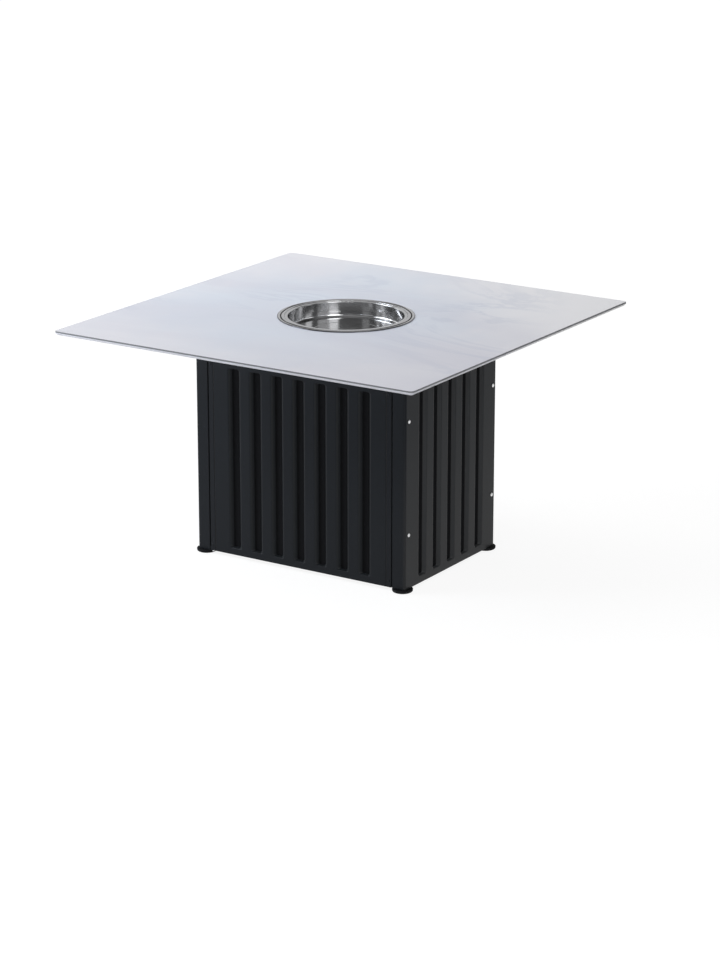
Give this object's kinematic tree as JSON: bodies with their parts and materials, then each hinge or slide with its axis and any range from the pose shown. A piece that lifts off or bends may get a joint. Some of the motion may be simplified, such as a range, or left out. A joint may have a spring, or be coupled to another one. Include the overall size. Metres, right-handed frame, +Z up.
{
  "type": "hotpot table",
  "caption": "Square stone-topped outdoor hotpot table with a round steel pan let into the middle, on a fluted sheet-metal cabinet with a hinged door and levelling feet.",
  "frame": {"origin": "on the floor, under the middle of the top", "axes": "+Z up; the cabinet's door faces -Y; +X is to the right of someone who faces the door"},
  "size_m": [1.2, 1.2, 0.715],
  "materials": {
    "stone": "honed pale grey",
    "rubber": "matte",
    "polished_steel": "polished",
    "black_frame": "matte",
    "black_sheet": "satin",
    "bright_steel": "satin",
    "black_plastic": "matte"
  },
  "bodies": {
    "table": {"top_slab": "stone", "slab_pads": "rubber", "ring_gasket": "rubber", "well_ring": "polished_steel", "bearer_left": "black_frame", "bearer_right": "black_frame", "bearer_caps": "black_plastic", "bearer_bolts": "bright_steel", "bearer_nuts": "bright_steel", "post_front_left": "black_frame", "post_front_right": "black_frame", "post_back_left": "black_frame", "post_back_right": "black_frame", "top_rail_front": "black_frame", "top_rail_back": "black_frame", "top_rail_left": "black_frame", "top_rail_right": "black_frame", "bottom_rail_front": "black_frame", "bottom_rail_back": "black_frame", "bottom_rail_left": "black_frame", "bottom_rail_right": "black_frame", "left_panel": "black_sheet", "right_panel": "black_sheet", "back_panel": "black_sheet", "front_fascia": "black_sheet", "bottom_tray": "black_frame", "cable_grommet": "rubber", "left_screws": "bright_steel", "right_screws": "bright_steel", "back_screws": "black_sheet", "hinge_bracket": "black_frame", "hinge_pin_top": "bright_steel", "hinge_pin_bottom": "bright_steel", "magnet_catch": "black_plastic", "post_plugs": "black_plastic"},
    "door": {"door_skin": "black_sheet", "door_stile_left": "black_sheet", "door_stile_right": "black_sheet", "door_rivets": "black_sheet", "strike_plate": "bright_steel"},
    "pan": {"well_pan": "polished_steel"},
    "foot_front_left": {"foot_pad_front_left": "black_plastic", "foot_stem_front_left": "bright_steel"},
    "foot_front_right": {"foot_pad_front_right": "black_plastic", "foot_stem_front_right": "bright_steel"},
    "foot_back_left": {"foot_pad_back_left": "black_plastic", "foot_stem_back_left": "bright_steel"},
    "foot_back_right": {"foot_pad_back_right": "black_plastic", "foot_stem_back_right": "bright_steel"}
  },
  "joints": [
    {"name": "door_swing", "type": "hinge", "parent": "table", "child": "door", "pos_m": [-0.308, -0.245, 0.3], "axis": [0, 0, -1], "range_deg": [0, 110]},
    {"name": "pan_lift", "type": "slide", "parent": "table", "child": "pan", "axis": [0, 0, 1], "range_m": [0, 0.08]},
    {"name": "foot_front_left_level", "type": "slide", "parent": "table", "child": "foot_front_left", "axis": [0, 0, -1], "range_m": [0, 0.015]},
    {"name": "foot_front_right_level", "type": "slide", "parent": "table", "child": "foot_front_right", "axis": [0, 0, -1], "range_m": [0, 0.015]},
    {"name": "foot_back_left_level", "type": "slide", "parent": "table", "child": "foot_back_left", "axis": [0, 0, -1], "range_m": [0, 0.015]},
    {"name": "foot_back_right_level", "type": "slide", "parent": "table", "child": "foot_back_right", "axis": [0, 0, -1], "range_m": [0, 0.015]}
  ]
}
